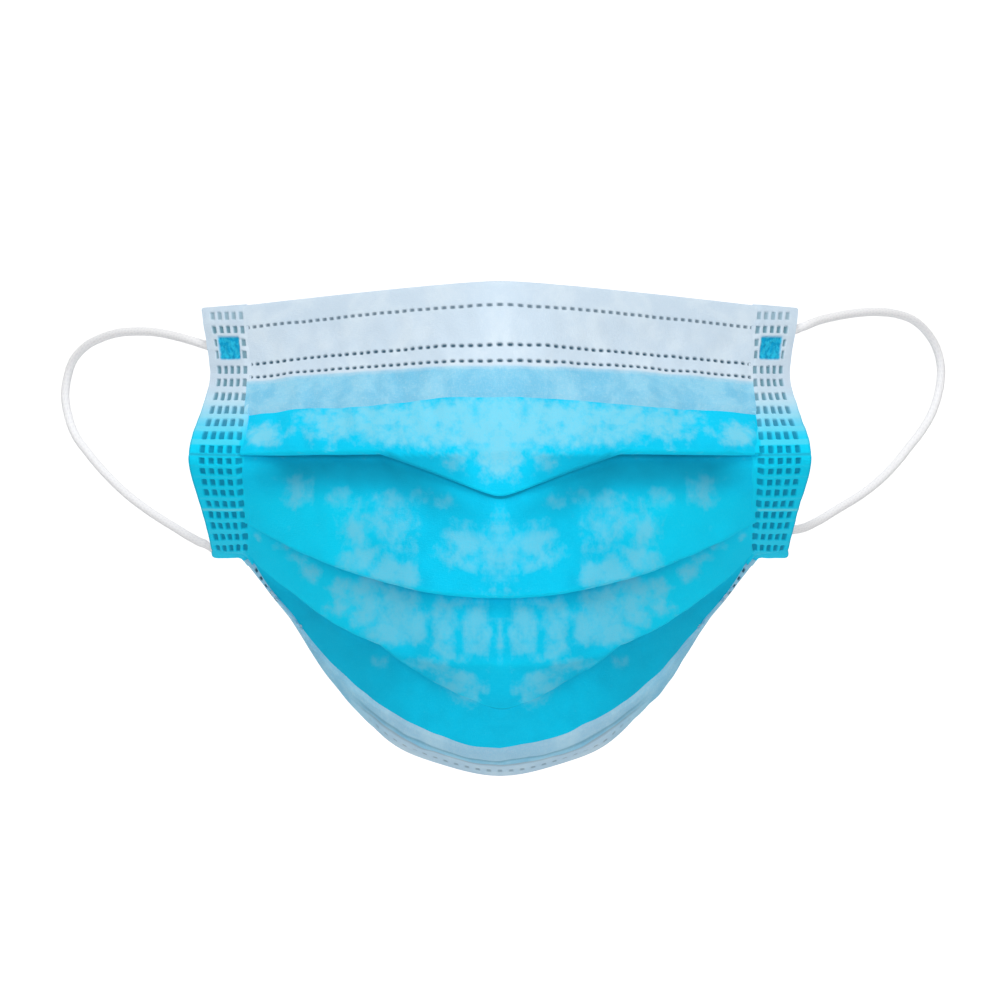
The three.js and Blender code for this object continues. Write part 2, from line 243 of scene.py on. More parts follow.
class ClothWay:
    """Way of the cloth down each section: lengths down, heights out, the cloth's own length, the
    wear and painted highlight on the fold edges, and the painted shade below them."""

    turn_steps = 12
    lap_steps = 8
    panel_step = 0.8

    def __init__(self, sections):
        self.rows = []
        self.edges = []
        half_width = np.abs(sections.knots[:, [LINES.index("pleat_1")], 0])
        beside = (BAND_START - np.abs(sections.across[:, None])) * HALF_WIDTH
        spread = smooth(beside / TURN_SPREAD)
        point = np.hypot(half_width, OPEN_ROUND) - OPEN_ROUND
        opened = np.clip(1 - point / (math.hypot(OPEN_HALF, OPEN_ROUND) - OPEN_ROUND), 0, 1)
        bottom_out = BOTTOM_TUCK * np.abs(sections.across[:, None] / BAND_START) ** 3
        start = np.full_like(half_width, -EDGE)
        heights = shade = np.zeros_like
        for number, row in enumerate(PLEATS):
            line, following, depth, mid_depth, drop, radius, mid_radius, *shading = row
            darkness, deepest, reach = shading
            old_edge = sections.down_to(line)
            edge = old_edge + drop * opened
            turn = lerp(lerp(BAND_TURN, radius, spread), mid_radius, opened)
            down, out, wear = fold(lerp(depth, mid_depth, opened), turn, self.turn_steps)

            def ridge(at, old_edge=old_edge, share=opened * (drop > 0)):
                return share * bell(at, old_edge, RIDGE_SPREAD)

            def above(at, heights=heights, ridge=ridge):
                return heights(at) + RIDGE * ridge(at)

            hanging = smooth(opened / HANG_IN) * (1 - rising(opened, *HANG_OUT)) * (drop > 0)

            def flap_shade(at, shade=shade, old_edge=old_edge, most=FLAP_SHADE * darkness * hanging):
                return np.maximum(shade(at), most * rising(at - old_edge, *FLAP_START))

            self.lay_panel(start, edge + down[:, :1], above, number, flap_shade, ridge)
            passed = np.linspace(0, 1, down.shape[1])[None]
            turned = edge + down
            self.lay(turned, above(turned) + out, number + passed, wear * (1 - hanging), flap_shade(edge))
            turned_out = out[:, -1:]
            knee = edge + KNEE
            lap_share = np.arange(1, self.lap_steps)[None] / self.lap_steps
            lap = lerp(turned[:, -1:], knee, lap_share)
            self.lay(lap, above(lap) + turned_out, number + 1, 0, darkness)
            end = sections.down_to(following)
            end_out = 0
            if following == "bottom_edge":
                end, end_out = np.minimum(end, knee + COME_FORWARD), bottom_out

            def heights(at, above=above, knee=knee, end=end, end_out=end_out, turned_out=turned_out):
                run = np.clip((at - knee) / (end - knee), 0, 1)
                return np.where(at < knee, above(at), 0) + lerp(turned_out, end_out, run)

            most = darkness * (1 - opened**2) * smooth(beside / BAND_SHADE)

            def shade(at, edge=edge, most=most, deepest=deepest, reach=reach):
                return most * bell(np.maximum(at - edge, 0), deepest, reach)

            self.edges.append((edge, heights))
            start = knee
        self.last_heights, self.last_knee = heights, start
        self.lay_panel(start, sections.length + EDGE, heights, len(PLEATS), shade)
        self.down, self.out, self.length, self.wear, self.shade = (
            np.concatenate(columns, 1) for columns in zip(*self.rows)
        )

    def lay(self, down, out, pleats, wear, shade):
        length = down + HIDDEN * pleats
        self.rows.append((down, out, length, *(np.broadcast_to(v, down.shape) for v in (wear, shade))))

    def lay_panel(self, start, end, heights, pleats, shade, ridge=None):
        """Rows of one panel. The last one has no ridge, and no fold that takes over its end row."""
        last = ridge is None
        count = int(np.max(end - start) / self.panel_step)
        down = lerp(start, end, np.arange(count + last)[None] / count)
        self.lay(down, heights(down), pleats, 0 if last else RIDGE_WEAR * ridge(down), shade(down))

    def seen_heights(self, down):
        """Heights of the layer that shows at each length down."""
        seen = np.zeros_like(down)
        for edge, heights in self.edges:
            seen = np.where(down > edge, heights(down), seen)
        return seen


def quads(number):
    """Faces between neighbours in a grid of vertex numbers."""
    corners = number[:-1, :-1], number[:-1, 1:], number[1:, 1:], number[1:, :-1]
    return np.stack(corners, -1).reshape(-1, 4)


def grid_faces(columns, rows):
    """Faces of a closed wall: front grid, back grid and the four rims between them."""
    number = np.arange(2 * columns * rows).reshape(2, columns, rows)
    rims = number[:, :, 0], number[:, ::-1, -1], number[:, 0].T, number[::-1, -1].T
    return np.concatenate([quads(grid) for grid in (number[0], number[1].T, *rims)])


def add_object(name, data):
    made = bpy.data.objects.new(name, data)
    bpy.context.scene.collection.objects.link(made)
    return made


def smooth_mesh(name, places, faces, material):
    mesh = bpy.data.meshes.new(name)
    mesh.from_pydata(places.tolist(), [], faces)
    mesh.polygons.foreach_set("use_smooth", np.ones(len(faces), bool))
    mesh.materials.append(material)
    return mesh


def finish_mesh(name, places, faces, material, uv, paint):
    mesh = smooth_mesh(name, (places - NOSE_SEAT) * MM, faces, material)
    mesh.set_sharp_from_angle(angle=SHARP_ANGLE)
    for key, values in paint.items():
        layer = mesh.attributes.new(key, "FLOAT", "POINT")
        layer.data.foreach_set("value", np.asarray(values, np.float32).ravel())
    corner = np.zeros(len(mesh.loops), np.int32)
    mesh.loops.foreach_get("vertex_index", corner)
    layer = mesh.uv_layers.new(name="cloth")
    layer.data.foreach_set("uv", uv[corner].astype(np.float32).ravel())
    mesh.update()
    return add_object(name, mesh)


def uv_map(u, v):
    return np.stack(np.broadcast_arrays(u, v), -1).reshape(-1, 2) / UV_UNIT


def wall_piece(name, grid, front, back, material, across, paint, length=None, flip=False):
    """Closed wall about grid[column, row], from the height back to the height front along its normal.
    The cloth's own lengths go to the UV map, mirrored about the middle."""
    normal = normals(grid) * (-1 if flip else 1)
    sides = [grid + normal * np.broadcast_to(h, grid.shape[:2])[..., None] for h in (front, back)]
    if length is None:
        length = lengths_along(grid)
    uv = uv_map(np.abs(across)[:, None] * HALF_WIDTH, length)
    faces = grid_faces(*grid.shape[:2])
    if flip:
        faces = faces[:, ::-1]
    both = {key: np.stack([values, values]) for key, values in paint.items()}
    both["back"] = np.stack([np.zeros(length.shape), np.ones(length.shape)])
    places = np.concatenate([side.reshape(-1, 3) for side in sides])
    return finish_mesh(name, places, faces.tolist(), material, np.concatenate([uv, uv]), both)


# Materials

SPECULAR = 0.12
ROUGHNESS = {"cloth_blue": 0.9, "hem_white": 0.88, "band_weld": 0.75, "loop_elastic": 0.85}
LOOP_SHEEN = 0.1
FIBRE_SCALES = ((90, 420), (380, 110))  # across and down the cloth, for two main directions
FIBRE_NOISE = (1.0, 4, 0.6, 0.6)  # scale, detail, roughness and distortion
CLOTH_BUMP = (0.35, 0.00025)  # strength, and distance in metres
BAND_BUMP = (0.3, 0.0002)
LOOP_BUMP = (0.3, 0.0001)
MIX_COLOURS = (6, 7)  # a Mix node's inputs for colours
MIX_RESULT = 2


def feed(tree, socket, value):
    """Links an output to a socket, or sets a plain value on it."""
    if isinstance(value, bpy.types.NodeSocket):
        tree.links.new(value, socket)
    else:
        socket.default_value = value


def add(tree, kind, setting=None, **inputs):
    node = tree.nodes.new(kind)
    for key, value in (setting or {}).items():
        setattr(node, key, value)
    for key, value in inputs.items():
        feed(tree, node.inputs[key.replace("_", " ")], value)
    return node


def mix(tree, factor, *colours):
    """Mix of two colours, each an output or a plain colour."""
    node = add(tree, "ShaderNodeMix", {"data_type": "RGBA"})
    feed(tree, node.inputs[0], factor)
    for number, colour in zip(MIX_COLOURS, colours):
        feed(tree, node.inputs[number], (*colour, 1) if isinstance(colour, tuple) else colour)
    return node.outputs[MIX_RESULT]


def attribute(tree, name):
    return add(tree, "ShaderNodeAttribute", {"attribute_name": name}).outputs["Fac"]


def noise(tree, where, scale, detail, rough, distort=0.0):
    node = add(tree, "ShaderNodeTexNoise", Vector=where, Scale=scale, Detail=detail,
               Roughness=rough, Distortion=distort)
    return node.outputs["Fac"]


def ramp(tree, value, low, high):
    """Smooth step from 0 at low to 1 at high."""
    smoothly = {"interpolation_type": "SMOOTHSTEP"}
    return add(tree, "ShaderNodeMapRange", smoothly, Value=value, From_Min=low, From_Max=high).outputs[0]


def math_node(tree, operation, a, b):
    node = add(tree, "ShaderNodeMath", {"operation": operation})
    for socket, value in zip(node.inputs, (a, b)):
        feed(tree, socket, value)
    return node.outputs[0]


def times(tree, value, part):
    return math_node(tree, "MULTIPLY", value, part)


def stretched(tree, where, x, y):
    return add(tree, "ShaderNodeMapping", Vector=where, Scale=(x, y, 1)).outputs[0]


def new_material(name, sheen=0.0):
    material = bpy.data.materials.new(name)
    material.use_nodes = True
    tree = material.node_tree
    shader = tree.nodes["Principled BSDF"]
    shader.inputs["Roughness"].default_value = ROUGHNESS[name]
    shader.inputs["Sheen Weight"].default_value = sheen
    shader.inputs["Specular IOR Level"].default_value = SPECULAR
    where = add(tree, "ShaderNodeUVMap", {"uv_map": "cloth"}).outputs[0]
    return material, tree, shader, where


def fibres(tree, where):
    """Fine random fibres of a spun-bonded cloth, laid in two main directions."""
    one, other = (noise(tree, stretched(tree, where, *scale), *FIBRE_NOISE) for scale in FIBRE_SCALES)
    return math_node(tree, "ADD", one, other)


def set_cloth(tree, shader, colour, height, relief):
    strength, distance = relief
    tree.links.new(colour, shader.inputs["Base Color"])
    bump = add(tree, "ShaderNodeBump", Height=height, Strength=strength, Distance=distance)
    tree.links.new(bump.outputs[0], shader.inputs["Normal"])


BLUE = (0, 0.62, 0.94)
BLUE_PALE = (0.2, 0.67, 0.87)
BLUE_DEEP = (0, 0.54, 0.84)
BLUE_FIBRE = (0.02, 0.72, 0.98)
BLUE_WEAR_AND_LIGHT = (0, 0.7, 1)
BLUE_SHADE = (0, 0.26, 0.42)
WHITE = (0.61, 0.74, 0.86)
WHITE_LIGHT = (0.68, 0.8, 0.9)
FLAP = (0.18, 0.56, 0.8)
FLAP_PALE = (0.29, 0.66, 0.86)
SLATE = (0.04, 0.1, 0.15)
SLATE_PALE = (0.16, 0.32, 0.4)
TEAL = (0, 0.28, 0.46)
BAND_BLUE = (0, 0.66, 0.94)
BAND_PALE = (0.16, 0.72, 0.86)
SPOT_BLUE = (0, 0.34, 0.62)
SPOT_PALE = (0.02, 0.52, 0.78)
INNER = (0.7, 0.79, 0.88)
INNER_LIGHT = (0.8, 0.86, 0.92)
LOOP = (0.89, 0.89, 0.9)
LOOP_LIGHT = (0.93, 0.93, 0.94)
LOOP_GROOVE_SHADE = (0.81, 0.81, 0.84)

CLOUD_NOISE = (8.5, 4, 0.62, 0.3)  # scale, detail, roughness and distortion
CLOUDS = (0.42, 0.66)  # range of that noise that turns lighter
FLAP_CLOUDS = (0.40, 0.62)
SPOT_CLOUDS = (0.4, 0.6)
SPOT_SCALE = 9
LIGHT_FIBRES = (0.8, 1.3)  # range of the fibres that turns lighter
BLUE_FIBRES = (0.9, 1.3)
BLUE_FIBRE_PART = 0.25
HEM_FIBRES = (0.9, 1.35)
HEM_FIBRE_PART = 0.2
LUMP_NOISE = (24.0, 3, 0.6)  # breaks up the paler places of the blue cloth
LUMP_PART = 0.75
PLACE_PART = 0.42
BLOTCHES = (0.48, 0.82)
DEEP_NOISE = (11.0, 2, 0.5)
DEEP_CLOUDS = (0.4, 0.7)
DEEP_PART = 0.6
WEAR_AND_LIGHT_PART = 0.85


def cloud(tree, where, low, high):
    """Soft blotches of the cloth's uneven fibres."""
    return ramp(tree, noise(tree, where, *CLOUD_NOISE), low, high)


def inner_side(tree, fibre, colour):
    """The white inner ply, on the back of a wall."""
    inside = mix(tree, ramp(tree, fibre, *LIGHT_FIBRES), INNER, INNER_LIGHT)
    return mix(tree, attribute(tree, "back"), colour, inside)


def cloth_blue():
    material, tree, shader, where = new_material("cloth_blue")
    fibre = fibres(tree, where)
    lump = times(tree, noise(tree, where, *LUMP_NOISE), LUMP_PART)
    place = times(tree, attribute(tree, "tone"), PLACE_PART)
    blotch = ramp(tree, math_node(tree, "ADD", lump, place), *BLOTCHES)
    blotch = times(tree, blotch, attribute(tree, "pale"))
    deep = ramp(tree, noise(tree, where, *DEEP_NOISE), *DEEP_CLOUDS)
    colour = mix(tree, times(tree, deep, DEEP_PART), BLUE, BLUE_DEEP)
    # painted light on the sides of the middle panels, and the wear and painted highlight of the fold
    # edges
    colour = mix(tree, times(tree, attribute(tree, "wear_and_painted_light"), WEAR_AND_LIGHT_PART), colour, BLUE_WEAR_AND_LIGHT)
    colour = mix(tree, blotch, colour, BLUE_PALE)
    bright = times(tree, ramp(tree, fibre, *BLUE_FIBRES), BLUE_FIBRE_PART)
    colour = mix(tree, bright, colour, BLUE_FIBRE)
    colour = mix(tree, attribute(tree, "shade"), colour, BLUE_SHADE)
    set_cloth(tree, shader, inner_side(tree, fibre, colour), fibre, CLOTH_BUMP)
    return material


def hem_white():
    material, tree, shader, where = new_material("hem_white")
    fibre = fibres(tree, where)
    plain = mix(tree, cloud(tree, where, *CLOUDS), WHITE, WHITE_LIGHT)
    flap = mix(tree, cloud(tree, where, *FLAP_CLOUDS), FLAP, FLAP_PALE)
    colour = mix(tree, attribute(tree, "tone"), plain, flap)
    bright = times(tree, ramp(tree, fibre, *HEM_FIBRES), HEM_FIBRE_PART)
    colour = mix(tree, bright, colour, INNER_LIGHT)
    # weld dots, with painted shade in the bottom hem's creases
    colour = mix(tree, attribute(tree, "weld_and_crease_shade"), colour, SLATE)
    set_cloth(tree, shader, inner_side(tree, fibre, colour), fibre, CLOTH_BUMP)
    return material


def band_weld():
    material, tree, shader, where = new_material("band_weld")
    fibre = fibres(tree, where)
    tone = attribute(tree, "tone")
    white = mix(tree, cloud(tree, where, *CLOUDS), WHITE, WHITE_LIGHT)
    blue = mix(tree, attribute(tree, "ridge"), BAND_BLUE, BAND_PALE)
    colour = mix(tree, tone, blue, white)
    # weld marks, with painted shade along the pleat's fold and the darker rim
    colour = mix(tree, attribute(tree, "weld_and_crease_shade"), colour, mix(tree, tone, TEAL, SLATE_PALE))
    patches = cloud(tree, stretched(tree, where, SPOT_SCALE, SPOT_SCALE), *SPOT_CLOUDS)
    colour = mix(tree, attribute(tree, "spot"), colour, mix(tree, patches, SPOT_BLUE, SPOT_PALE))
    set_cloth(tree, shader, inner_side(tree, fibre, colour), fibre, BAND_BUMP)
    return material


def loop_elastic():
    material, tree, shader, where = new_material("loop_elastic", LOOP_SHEEN)
    fibre = fibres(tree, where)
    colour = mix(tree, ramp(tree, fibre, *LIGHT_FIBRES), LOOP, LOOP_LIGHT)
    # painted shade in the grooves between the knitted strands
    colour = mix(tree, attribute(tree, "groove_shade"), colour, LOOP_GROOVE_SHADE)
    set_cloth(tree, shader, colour, fibre, LOOP_BUMP)
    return material


blue_material = cloth_blue()
hem_material = hem_white()
band_material = band_weld()
loop_material = loop_elastic()

# Pleated panel

# Paler places of the cloth: share across, length down, size across and down, and strength
PALE_PLACES = [
    (0, 34, 26, 9.5, 1), (0.22, 34.5, 16, 8, 0.95), (0.38, 34.5, 13, 7.5, 0.9),
    (0.54, 34.5, 12, 7, 0.85), (0.66, 35, 5, 4, 0.5), (0.775, 37, 6, 4.5, 1), (0, 42, 8, 6, 0.95),
    (0.14, 43.5, 4, 3, 0.7), (0.68, 52.5, 6, 4.5, 0.8), (0.543, 54, 4.5, 3.5, 0.65),
    (0.36, 54, 7, 2.8, 0.75), (0.274, 52.5, 7, 2.6, 0.65), (0.19, 52.8, 5, 2.2, 0.6),
    (0.47, 60, 5.5, 7, 0.8), (0.363, 59, 7, 5, 0.8), (0.316, 61.5, 6, 4.5, 0.65),
    (0.453, 67, 9, 4, 0.8), (0.36, 69, 9, 4, 0.9), (0.29, 69.5, 4, 4.5, 0.9), (0.116, 61, 8, 5, 0.8),
    (0.165, 64, 5, 3, 0.65), (0.065, 65, 9, 3.5, 0.7), (0, 58, 6, 2.8, 0.7), (0, 62, 9, 5, 0.8),
    (0, 66.5, 6, 3, 0.65), (0, 54.5, 3.5, 1.8, 0.5), (0.03, 71.5, 10, 1.2, 0.4),
    (0.824, 65.5, 2, 2, 0.5), (0.743, 67, 3, 2, 0.5), (0.69, 69.5, 4, 3, 0.65),
    (0.645, 72, 4.5, 3, 0.8), (0.504, 75, 7, 4, 0.85), (0.444, 73.5, 7, 4, 0.85),
    (0.534, 79.5, 5, 4, 0.7), (0.444, 79, 9, 5, 0.9), (0.351, 78.5, 9, 6, 0.95), (0.3, 82, 9, 6, 0.95),
    (0.38, 84.5, 7, 3.5, 1), (0.193, 80, 9, 6, 0.9), (0.103, 79, 8, 6, 0.85), (0.073, 82, 8, 6, 0.9),
    (0.188, 86, 9, 3, 0.8), (0, 83, 8, 6, 0.85), (0.222, 90.5, 7, 3, 0.75), (0.129, 95, 8, 5, 0.9),
    (0.111, 99.5, 5, 4, 0.7), (0.41, 93, 3, 2.5, 0.7),
]
# Deeper streaks down the third panel: share across and size across
STREAKS = ((0.235, 1.6), (0.137, 1.3), (0.022, 1.3))
STREAK_RUN = (74, 89)  # lengths down
STREAK_FADE = 3
STREAK_DEPTH = 0.55
PALE_RIM = 1.5  # steepness of a paler place's rim
TOP_PANEL = (46, 4)  # the paler places are strongest down to this length, and fade within the next
LOWER_PALE = 0.68  # their strength further down
BILLOWS = ((0.16, 24, 3), (0.07, 9, 4))  # heights, sizes and seeds
BILLOW_HELD = 12  # length from the top and bottom edge in which the billows start
LAST_FADE = 3  # length in which the last panel's painted shade starts and the painted light of the sides ends
UNDER = (0.18, 0.3)  # share across where the last panel turns under, and spread
UNDER_SHADE = 0.3
PAINTED_LIGHT_SIDES = (0.3, 0.25)  # share across where the painted light on the cloth starts, and spread
PAINTED_LIGHT_DOWN = (50, 6)  # length down from where it does, and run


def pale_tone(across, down):
    share = np.abs(across)
    tone = np.zeros(down.shape)
    for place, length, wide, tall, strength in PALE_PLACES:
        apart = ((share - place) * HALF_WIDTH / wide) ** 2 + ((down - length) / tall) ** 2
        tone = np.maximum(tone, strength * np.exp(-(apart**PALE_RIM)))
    on_third = rising(down, STREAK_RUN[0], STREAK_FADE) * falling(down, STREAK_RUN[1], STREAK_FADE)
    for place, wide in STREAKS:
        tone = tone * (1 - STREAK_DEPTH * on_third * bell(share, place, wide / HALF_WIDTH))
    return tone


def billow(sections, down):
    """Small unevenness that all layers of the cloth share, none at the top and bottom edge."""
    u = sections.across[:, None] * HALF_WIDTH
    held = rising(down, -EDGE, BILLOW_HELD) * falling(down, sections.length + EDGE, BILLOW_HELD)
    return sum(ripple(u, down, *row) for row in BILLOWS) * held


PANEL_COLUMNS = 161
panel_across = np.linspace(-CLOTH_END, CLOTH_END, PANEL_COLUMNS)
panel_sections = Sections(panel_across)
panel_way = ClothWay(panel_sections)
across_grid = np.broadcast_to(panel_across[:, None], panel_way.down.shape)
panel_grid = panel_sections.place(panel_way.down, panel_way.out + billow(panel_sections, panel_way.down))
on_last = rising(panel_way.down, panel_way.last_knee, LAST_FADE)
# Painted shade where the last panel turns under beside the chin
under_shade_mask = on_last * rising(np.abs(across_grid), *UNDER)
# Painted light: the second and third panel are brighter towards the sides, and the fold edges are lighter
# by their wear and a painted highlight
wear_and_painted_light = rising(np.abs(across_grid), *PAINTED_LIGHT_SIDES) * rising(panel_way.down, *PAINTED_LIGHT_DOWN) * (1 - on_last)
panel_paint = {
    "tone": pale_tone(across_grid, panel_way.down),
    "wear_and_painted_light": np.maximum(panel_way.wear, wear_and_painted_light),
    "pale": lerp(1, LOWER_PALE, rising(panel_way.down, *TOP_PANEL)),
    "shade": np.maximum(panel_way.shade, UNDER_SHADE * under_shade_mask),
}
panel = wall_piece(
    "cloth_panel", panel_grid, CLOTH / 2, -CLOTH / 2, blue_material, panel_across, panel_paint,
    panel_way.length,
)

# Hems

DOT_WIDE = 1.25
DOT_TALL = 0.9
DOT_DEPTH = 0.24
DOT_SOFT = 0.22
MARK_RIM = (0.3, 0.9)  # share of the soft edge where a mark starts to fade, and run
DOTS = 67
DOTS_END = 0.843  # share across
DOT_ROW = 0.25  # spacing of the mesh's rows where weld dots lie
COLUMNS_PER_DOT = 8
FINE_COLUMNS = 2001
HEM_TURN_ROWS = 9


def dot_columns(down_of):
    """Places across that are even along a line of weld dots, and each one's distance from a dot."""
    fine = np.linspace(-CLOTH_END, CLOTH_END, FINE_COLUMNS)
    sections = Sections(fine)
    line = sections.place(down_of(sections), np.zeros((len(fine), 1)))[:, 0]
    run = lengths_along(line)
    run -= run[-1] / 2
    pitch = 2 * run[-1] / DOTS
    at = np.linspace(run[0], run[-1], DOTS * COLUMNS_PER_DOT + 1)
    off = (at + pitch / 2) % pitch - pitch / 2
    return np.interp(at, run, fine), off


def box_mark(u, v, wide, tall, soft):
    """Soft-edged rounded rectangle, 1 inside and 0 outside."""
    past_side = np.maximum(np.abs(u) - wide / 2 + soft, 0)
    past_end = np.maximum(np.abs(v) - tall / 2 + soft, 0)
    return 1 - rising(np.hypot(past_side, past_end) / soft, *MARK_RIM)


def dot_line(off, down, tall=DOT_TALL):
    return box_mark(off[:, None], down, DOT_WIDE, tall, DOT_SOFT)


def hem_grid(across, front_downs, edge, back_downs, heights_of):
    """Places of a hem: up or down its front leg, round the edge and along its back leg."""
    toward = np.sign(edge - front_downs[:, :1])
    angle = np.linspace(0, np.pi, HEM_TURN_ROWS)[None]
    turn_down = edge + toward * HEM_HEIGHT * np.sin(angle)
    down = np.concatenate([front_downs, turn_down, back_downs], 1)
    height = np.concatenate([
        np.full(front_downs.shape, HEM_HEIGHT),
        np.broadcast_to(HEM_HEIGHT * np.cos(angle), turn_down.shape),
        np.full(back_downs.shape, -HEM_HEIGHT),
    ], 1)
    step = 0.005

    def cloth(shift, lower=0.0):
        sections = Sections(across + shift)
        at = down + lower
        return sections.place(at, heights_of(sections, at) + billow(sections, at))

    along = cloth(step) - cloth(-step)
    downward = cloth(0, step) - cloth(0, -step)
    grid = cloth(0) + unit(np.cross(downward, along)) * height[..., None]
    return grid, down


HEM_UNDER = -0.28  # height of a hem's inner face
HEM_PRESSED = (-0.33, -0.45)  # heights of its outer and inner face at the free edge
LIE_DOWN = 1.3  # the hem lies down on the cloth within this length of its free edge


def hem_sides(inside, front_leg):
    """Heights of a hem's outer and inner face. The front leg's free edge is pressed onto the cloth."""
    lift = np.where(front_leg, smooth(inside / LIE_DOWN), 1)
    return lerp(HEM_PRESSED[0], CLOTH / 2, lift), lerp(HEM_PRESSED[1], HEM_UNDER, lift)


TOP_DOT_LINES = ((4.3, 0.8), (14.0, 1), (18.0, 1))  # length down and strength
TOP_FREE = (27.4, 30)  # length down to the front leg's free edge, at the middle and towards the sides
TOP_FREE_RUN = (0.08, 0.4)  # share across where it starts to go down, and spread
LOWER_DOT_ROWS = (19.6, 12.4)  # lengths down between which the weld dots lie
UPPER_DOT_ROWS = (6, 2.9)
UPPER_END = 2.8
FLAP_ROWS = 10
BETWEEN_ROWS = 6
EDGE_ROWS = 5
TOP_BACK_ROWS = 10
TOP_TONE = (18.9, 1.2)  # length down where the flap's colour starts, and run
top_across, top_off = dot_columns(lambda sections: np.full_like(sections.length, TOP_DOT_LINES[1][0]))
free_edge = lerp(*TOP_FREE, rising(np.abs(top_across), *TOP_FREE_RUN))
flap_rows = lerp(free_edge[:, None], LOWER_DOT_ROWS[0], np.linspace(0, 1, FLAP_ROWS)[None, :-1])
line_rows = np.concatenate([
    np.arange(*LOWER_DOT_ROWS, -DOT_ROW),
    np.linspace(LOWER_DOT_ROWS[1], UPPER_DOT_ROWS[0], BETWEEN_ROWS)[:-1],
    np.arange(*UPPER_DOT_ROWS, -DOT_ROW),
    np.linspace(UPPER_END, -EDGE, EDGE_ROWS)[:-1],
])
top_front = np.concatenate([flap_rows, np.tile(line_rows, (len(top_across), 1))], 1)
top_back = np.tile(np.linspace(-EDGE, HEM_BACK_TOP, TOP_BACK_ROWS)[1:], (len(top_across), 1))
top_edge = np.full((len(top_across), 1), -EDGE)
top_grid, top_down = hem_grid(
    top_across, top_front, top_edge, top_back, lambda sections, down: np.zeros(down.shape)
)
front_leg = np.arange(top_down.shape[1])[None] < top_front.shape[1]
top_weld = sum(strength * dot_line(top_off, top_down - line) for line, strength in TOP_DOT_LINES)
top_weld = top_weld * front_leg * (np.abs(top_across[:, None]) < DOTS_END)
top_tone = rising(top_down, *TOP_TONE) * front_leg
top_face, top_under = hem_sides(free_edge[:, None] - top_down, front_leg)
top_hem = wall_piece(
    "hem_top", top_grid, top_face - DOT_DEPTH * top_weld, top_under, hem_material, top_across,
    {"weld_and_crease_shade": top_weld, "tone": top_tone}, flip=True,
)

# Lines along the hem: share across, and how far up the weld dots and the two creases lie there
CHIN_LINES = np.array([
    (0, 2.9, 6.1, 8.5), (0.1, 3.1, 7.2, 10.5), (0.2, 4.4, 9.7, 13.1), (0.3, 8.4, 13.0, 14.9),
    (0.4, 11.5, 13.7, 15.2), (0.5, 11.1, 12.6, 13.5),
])
SIDE_DOTS = 4.2  # how far up the weld dots lie beside the bands
CHIN_DOTS = (0.46, 0.14)  # share across where the dots over the chin end, and spread
CHIN_DOT_TALL = 1.5
CHIN_DOT_PART = 0.45
BAND_DOTS = (0.7, 0.06)  # share across where the dots beside the bands start, and spread
CREASE_WIDE = 0.5
CREASE_END = (0.5, 0.1)  # share across, and spread
CREASE_DEPTH = 0.15
# painted shade in the hem's creases, carried by the weld colour
CREASE_SHADE = 0.36
HEM_TONES = (0.3, 0.85, 0.62)  # below, between and above the creases
TONE_RUN = 0.8
SIDE_TONE = 0.85
SIDE_TONE_RUN = (0.3, 0.2)  # share across, and spread
# Share across, and height of the front leg there
HEM_FRONT = np.array([
    (0, 14.0), (0.1, 15.6), (0.2, 17.3), (0.3, 18.7), (0.4, 18.0), (0.5, 14.9), (0.6, 10.6), (0.65, 8.2),
    (0.7, 6.0), (0.75, 4.8), (0.8, 4.1), (CLOTH_END, 3.7),
])
HEM_CLEAR = 0.25  # share of the last panel that the hem leaves bare at least
BOTTOM_FRONT_ROWS = 56
BOTTOM_BACK_ROWS = 8
DOT_PATH = 4  # how far up the line lies along which the dots are even
bottom_across, bottom_off = dot_columns(lambda sections: sections.length - DOT_PATH)
bottom_sections = Sections(bottom_across)
bottom_line = bottom_sections.length
last_knee = ClothWay(bottom_sections).last_knee
beside = np.abs(bottom_across[:, None])
hem_front = curve_through(*HEM_FRONT.T, beside)
bottom_start = np.maximum(bottom_line - hem_front, lerp(last_knee, bottom_line, HEM_CLEAR))
bottom_edge = bottom_line + EDGE
bottom_front = lerp(bottom_start, bottom_edge, np.linspace(0, 1, BOTTOM_FRONT_ROWS)[None, :-1])
bottom_back = bottom_edge - np.linspace(0, HEM_BACK_BOTTOM, BOTTOM_BACK_ROWS)[None, 1:]
bottom_grid, bottom_down = hem_grid(
    bottom_across, bottom_front, bottom_edge, bottom_back,
    lambda sections, down: ClothWay(sections).last_heights(down),
)
front_leg = np.arange(bottom_down.shape[1])[None] < bottom_front.shape[1]
from_edge = bottom_edge - bottom_down
chin = np.minimum(beside, CHIN_LINES[-1, 0])
dots_up, *creases_up = (curve_through(CHIN_LINES[:, 0], line, chin) for line in CHIN_LINES.T[1:])
chin_dots = falling(beside, *CHIN_DOTS)
band_dots = rising(beside, *BAND_DOTS)
dots_up = lerp(dots_up, SIDE_DOTS, band_dots)
bottom_weld = dot_line(bottom_off, from_edge - dots_up, lerp(CHIN_DOT_TALL, DOT_TALL, band_dots))
bottom_weld = bottom_weld * (CHIN_DOT_PART * chin_dots + band_dots) * front_leg * (beside < DOTS_END)
crease = sum(bell(from_edge, line, CREASE_WIDE) for line in creases_up) * front_leg
crease = crease * falling(beside, *CREASE_END)
bottom_tone = HEM_TONES[0]
for line, next_tone in zip(creases_up, HEM_TONES[1:]):
    bottom_tone = lerp(bottom_tone, next_tone, rising(from_edge, line, TONE_RUN))
bottom_tone = front_leg * lerp(bottom_tone, SIDE_TONE, rising(beside, *SIDE_TONE_RUN))
bottom_face, bottom_under = hem_sides(bottom_down - bottom_start, front_leg)
bottom_face = bottom_face - DOT_DEPTH * bottom_weld - CREASE_DEPTH * crease
